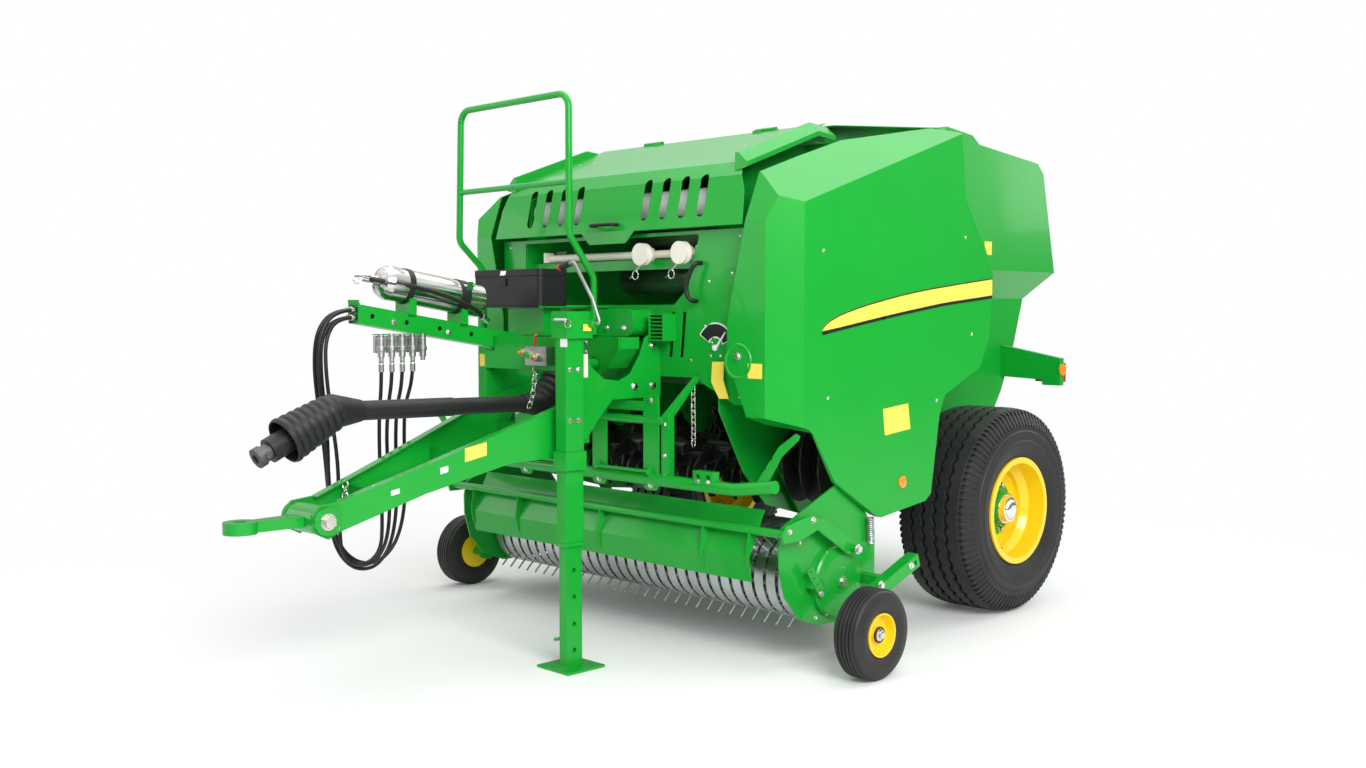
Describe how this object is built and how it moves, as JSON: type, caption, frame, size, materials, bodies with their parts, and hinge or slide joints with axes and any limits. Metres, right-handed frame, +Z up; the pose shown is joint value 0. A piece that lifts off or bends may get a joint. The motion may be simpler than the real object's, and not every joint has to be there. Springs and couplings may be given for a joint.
{
  "type": "round baler",
  "caption": "Towed fixed-chamber round baler with pick-up reel, feed rotor, side shields, opening tailgate, drawbar and parking jack.",
  "frame": {"origin": "on the ground, in the middle of the machine's length and width", "axes": "-Y towards the drawbar and the tractor, +X the machine's left side, +Z up"},
  "size_m": [2.564, 4.035, 2.221],
  "materials": {
    "green_paint": "gloss machine enamel, green",
    "yellow_paint": "gloss machine enamel, yellow",
    "black_paint": "satin black enamel",
    "tyre_rubber": "matt tyre rubber",
    "bare_steel": "worn bright steel",
    "galvanised": "galvanised strip",
    "black_plastic": "moulded black plastic",
    "cream_paint": "cream enamel",
    "rubber_hose": "hose rubber",
    "lamp_plastic": "moulded lamp lens",
    "steel_bottle": "polished stainless steel",
    "chrome_rod": "chromed rod"
  },
  "bodies": {
    "root": {"axle_beam": "green_paint", "chamber_rollers_front": "bare_steel", "couplers": "bare_steel", "drawbar": "green_paint", "extinguisher": "steel_bottle", "feed_bumper": "green_paint", "frame_cheeks": "green_paint", "front_bell": "black_plastic", "front_panel": "green_paint", "gearbox": "green_paint", "hand_rail": "green_paint", "hitch_eye": "green_paint", "hose_a": "rubber_hose", "hose_b": "rubber_hose", "hose_c": "rubber_hose", "hose_d": "rubber_hose", "hose_holder": "green_paint", "jack_crank": "bare_steel", "jack_sleeve": "green_paint", "power_shaft": "black_plastic", "rear_bell": "black_plastic", "shaft_guard": "green_paint", "side_walls": "green_paint", "toolbox": "black_plastic", "toolbox_shelf": "green_paint", "top_cover": "green_paint", "twine_unit": "cream_paint"},
    "wheel_left": {"tyre_left": "tyre_rubber", "rim_left": "yellow_paint"},
    "wheel_right": {"tyre_right": "tyre_rubber", "rim_right": "yellow_paint"},
    "gauge_wheel_left": {"gauge_tyre_left": "tyre_rubber", "gauge_rim_left": "yellow_paint"},
    "gauge_wheel_right": {"gauge_tyre_right": "tyre_rubber", "gauge_rim_right": "yellow_paint"},
    "tailgate": {"tailgate_shell": "green_paint", "chamber_rollers_rear": "bare_steel", "lamp_brackets": "green_paint", "rear_lamps": "lamp_plastic"},
    "barrel_left": {"cylinder_left": "black_paint"},
    "barrel_right": {"cylinder_right": "black_paint"},
    "rod_left": {"ram_left": "chrome_rod"},
    "rod_right": {"ram_right": "chrome_rod"},
    "shield_left": {"shield_left": "green_paint"},
    "shield_right": {"shield_right": "green_paint"},
    "hood": {"hood": "green_paint"},
    "toolbox_lid": {"toolbox_lid": "black_plastic"},
    "jack": {"jack_leg": "green_paint"},
    "pickup": {"pickup_frame": "green_paint", "pickup_ends": "green_paint", "pickup_arms": "green_paint", "stripper_bands": "galvanised", "gauge_arms": "green_paint"},
    "wind_guard": {"wind_guard": "green_paint"},
    "reel": {"pickup_reel": "black_paint"},
    "rotor": {"feed_rotor": "black_paint", "rotor_shaft": "bare_steel", "side_augers": "black_paint"}
  },
  "joints": [
    {"name": "tailgate_hinge", "type": "hinge", "parent": "root", "child": "tailgate", "pos_m": [0, 1.0355, 2.146], "axis": [1, 0, 0], "range_deg": [0, 55]},
    {"name": "barrel_left_pivot", "type": "hinge", "parent": "root", "child": "barrel_left", "pos_m": [0.655, 0.4355, 1.1], "axis": [1, 0, 0], "range_deg": [0, 6]},
    {"name": "barrel_right_pivot", "type": "hinge", "parent": "root", "child": "barrel_right", "pos_m": [-0.655, 0.4355, 1.1], "axis": [1, 0, 0], "range_deg": [0, 6]},
    {"name": "rod_left_slide", "type": "slide", "parent": "barrel_left", "child": "rod_left", "axis": [0, 0.8273, 0.5618], "range_m": [0, 0.49]},
    {"name": "rod_right_slide", "type": "slide", "parent": "barrel_right", "child": "rod_right", "axis": [0, 0.8273, 0.5618], "range_m": [0, 0.49]},
    {"name": "shield_left_hinge", "type": "hinge", "parent": "root", "child": "shield_left", "pos_m": [0.752, 0.4705, 2], "axis": [0, -1, 0], "range_deg": [0, 70]},
    {"name": "shield_right_hinge", "type": "hinge", "parent": "root", "child": "shield_right", "pos_m": [-0.752, 0.4705, 2], "axis": [0, 1, 0], "range_deg": [0, 70]},
    {"name": "hood_hinge", "type": "hinge", "parent": "root", "child": "hood", "pos_m": [0, 0.2655, 2.104], "axis": [-1, 0, 0], "range_deg": [0, 60]},
    {"name": "toolbox_lid_hinge", "type": "hinge", "parent": "root", "child": "toolbox_lid", "pos_m": [-0.2525, -0.5095, 1.48], "axis": [-1, 0, 0], "range_deg": [0, 90]},
    {"name": "jack_slide", "type": "slide", "parent": "root", "child": "jack", "axis": [0, 0, -1], "range_m": [0, 0.2]},
    {"name": "wheel_left_spin", "type": "hinge", "parent": "root", "child": "wheel_left", "pos_m": [0.86, 1.1855, 0.455], "axis": [1, 0, 0], "continuous": true},
    {"name": "wheel_right_spin", "type": "hinge", "parent": "root", "child": "wheel_right", "pos_m": [-0.86, 1.1855, 0.455], "axis": [1, 0, 0], "continuous": true},
    {"name": "rotor_spin", "type": "hinge", "parent": "root", "child": "rotor", "pos_m": [0, 0.1055, 0.74], "axis": [1, 0, 0], "continuous": true},
    {"name": "pickup_lift", "type": "hinge", "parent": "root", "child": "pickup", "pos_m": [0, 0.1055, 0.74], "axis": [-1, 0, 0], "range_deg": [0, 12]},
    {"name": "wind_guard_hinge", "type": "hinge", "parent": "pickup", "child": "wind_guard", "pos_m": [0, -0.0045, 0.436], "axis": [-1, 0, 0], "range_deg": [0, 20]},
    {"name": "reel_spin", "type": "hinge", "parent": "pickup", "child": "reel", "pos_m": [0, -0.0445, 0.31], "axis": [1, 0, 0], "continuous": true},
    {"name": "gauge_wheel_left_spin", "type": "hinge", "parent": "pickup", "child": "gauge_wheel_left", "pos_m": [1.222, -0.1505, 0.168], "axis": [1, 0, 0], "continuous": true},
    {"name": "gauge_wheel_right_spin", "type": "hinge", "parent": "pickup", "child": "gauge_wheel_right", "pos_m": [-1.222, -0.1505, 0.168], "axis": [1, 0, 0], "continuous": true}
  ],
  "couplings": [
    {"joint": "barrel_left_pivot", "follows": "tailgate_hinge", "ratio": 0.099368},
    {"joint": "barrel_right_pivot", "follows": "tailgate_hinge", "ratio": 0.099368},
    {"joint": "rod_left_slide", "follows": "tailgate_hinge", "m_per_rad": 0.50436},
    {"joint": "rod_right_slide", "follows": "tailgate_hinge", "m_per_rad": 0.50436}
  ]
}
